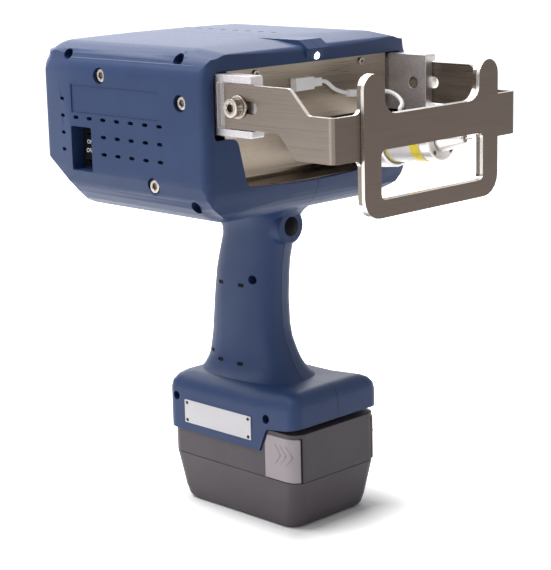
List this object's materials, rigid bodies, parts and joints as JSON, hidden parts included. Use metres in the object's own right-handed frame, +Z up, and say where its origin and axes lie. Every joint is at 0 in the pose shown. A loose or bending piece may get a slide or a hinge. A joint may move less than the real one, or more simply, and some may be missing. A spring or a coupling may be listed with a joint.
{
  "type": "hand-held dot peen marking machine",
  "caption": "Battery-powered hand-held marking machine: a wide head on a pistol grip carries a solenoid stylus behind an adjustable stand-off plate with a window, over a slide-on battery foot.",
  "frame": {"origin": "middle of the battery's underside, where the machine stands", "axes": "+Z up along the grip; -Y forwards, the way the stylus and the contact plate point; +X to the machine's left side, away from the power switch"},
  "size_m": [0.21, 0.3003, 0.3554],
  "materials": {
    "housing_plastic": "matte",
    "battery_plastic": "matte",
    "latch_plastic": "matte",
    "black_plastic": "satin",
    "white_plastic": "satin",
    "white_casing": "satin",
    "motor_casing": "satin",
    "sheet_steel": "satin",
    "bright_steel": "polished",
    "aluminium": "satin",
    "wrapped_cells": "satin",
    "contact_brass": "satin",
    "circuit_board": "satin",
    "display_lens": "gloss",
    "lamp_lens": "gloss",
    "cable_rubber": "matte"
  },
  "bodies": {
    "housing": {"right_shell": "housing_plastic", "left_shell": "housing_plastic", "inner_frame": "aluminium", "front_cover": "sheet_steel", "upper_guide_rod": "bright_steel", "lower_guide_rod": "bright_steel", "x_motor": "motor_casing", "right_slide_block": "aluminium", "left_slide_block": "aluminium", "right_clamp_washer": "bright_steel", "left_clamp_washer": "bright_steel", "right_clamp_screw": "bright_steel", "left_clamp_screw": "bright_steel", "shell_screw_1": "bright_steel", "shell_screw_2": "bright_steel", "shell_screw_3": "bright_steel", "cover_screw_1": "bright_steel", "cover_screw_2": "bright_steel", "cover_screw_3": "bright_steel", "cover_screw_4": "bright_steel", "trigger_spring": "bright_steel", "trigger_switch": "black_plastic", "power_switch_body": "black_plastic", "lamp": "lamp_lens", "display_window": "display_lens", "keypad": "black_plastic", "display_module": "black_plastic", "control_board": "circuit_board", "power_harness": "cable_rubber", "lead_plug": "white_plastic", "lead_sleeve": "white_plastic", "stylus_lead": "white_plastic", "base_terminal_block": "black_plastic", "terminal_blades": "contact_brass"},
    "standoff": {"standoff_bracket": "sheet_steel", "contact_plate": "sheet_steel"},
    "carriage": {"x_carriage": "aluminium", "swing_motor": "motor_casing"},
    "lead_screw": {"x_lead_screw": "bright_steel"},
    "swing": {"stylus_holder": "aluminium", "pivot_shaft": "bright_steel", "solenoid_body": "white_casing", "solenoid_cap": "bright_steel", "stylus_nozzle": "bright_steel", "return_spring": "bright_steel"},
    "pin": {"stylus_pin": "bright_steel"},
    "trigger": {"trigger_button": "black_plastic"},
    "rocker": {"power_rocker": "black_plastic"},
    "battery": {"battery_lower_case": "battery_plastic", "battery_upper_case": "battery_plastic", "cell_pack": "wrapped_cells", "battery_terminals": "contact_brass", "right_latch_spring": "bright_steel", "left_latch_spring": "bright_steel"},
    "right_latch_body": {"right_latch": "latch_plastic"},
    "left_latch_body": {"left_latch": "latch_plastic"}
  },
  "joints": [
    {"name": "standoff_slide", "type": "slide", "parent": "housing", "child": "standoff", "axis": [0, 1, 0], "range_m": [-0.008, 0.0025]},
    {"name": "carriage_slide", "type": "slide", "parent": "housing", "child": "carriage", "axis": [1, 0, 0], "range_m": [-0.094, 0]},
    {"name": "lead_screw_turn", "type": "hinge", "parent": "housing", "child": "lead_screw", "pos_m": [0, 0.002, 0.318], "axis": [1, 0, 0], "range_deg": [0, 4230]},
    {"name": "stylus_swing", "type": "hinge", "parent": "carriage", "child": "swing", "pos_m": [0.047, -0.0345, 0.275], "axis": [1, 0, 0], "range_deg": [0, 12]},
    {"name": "pin_strike", "type": "slide", "parent": "swing", "child": "pin", "axis": [0, -0.9945, 0.1045], "range_m": [0, 0.005], "stiffness_N_per_m": 400, "springref_m": -0.002},
    {"name": "trigger_press", "type": "slide", "parent": "housing", "child": "trigger", "axis": [0, 1, 0], "range_m": [0, 0.003], "stiffness_N_per_m": 800, "springref_m": -0.002},
    {"name": "rocker_tilt", "type": "hinge", "parent": "housing", "child": "rocker", "pos_m": [-0.0943, 0.0855, 0.2775], "axis": [0, 1, 0], "range_deg": [-14, 0]},
    {"name": "battery_slide", "type": "slide", "parent": "housing", "child": "battery", "axis": [0, -1, 0], "range_m": [0, 0.095]},
    {"name": "right_latch_press", "type": "slide", "parent": "battery", "child": "right_latch_body", "axis": [1, 0, 0], "range_m": [0, 0.0015], "stiffness_N_per_m": 1500, "springref_m": -0.001},
    {"name": "left_latch_press", "type": "slide", "parent": "battery", "child": "left_latch_body", "axis": [-1, 0, 0], "range_m": [0, 0.0015], "stiffness_N_per_m": 1500, "springref_m": -0.001}
  ],
  "couplings": [
    {"joint": "lead_screw_turn", "follows": "carriage_slide", "rad_per_m": -785.4}
  ]
}
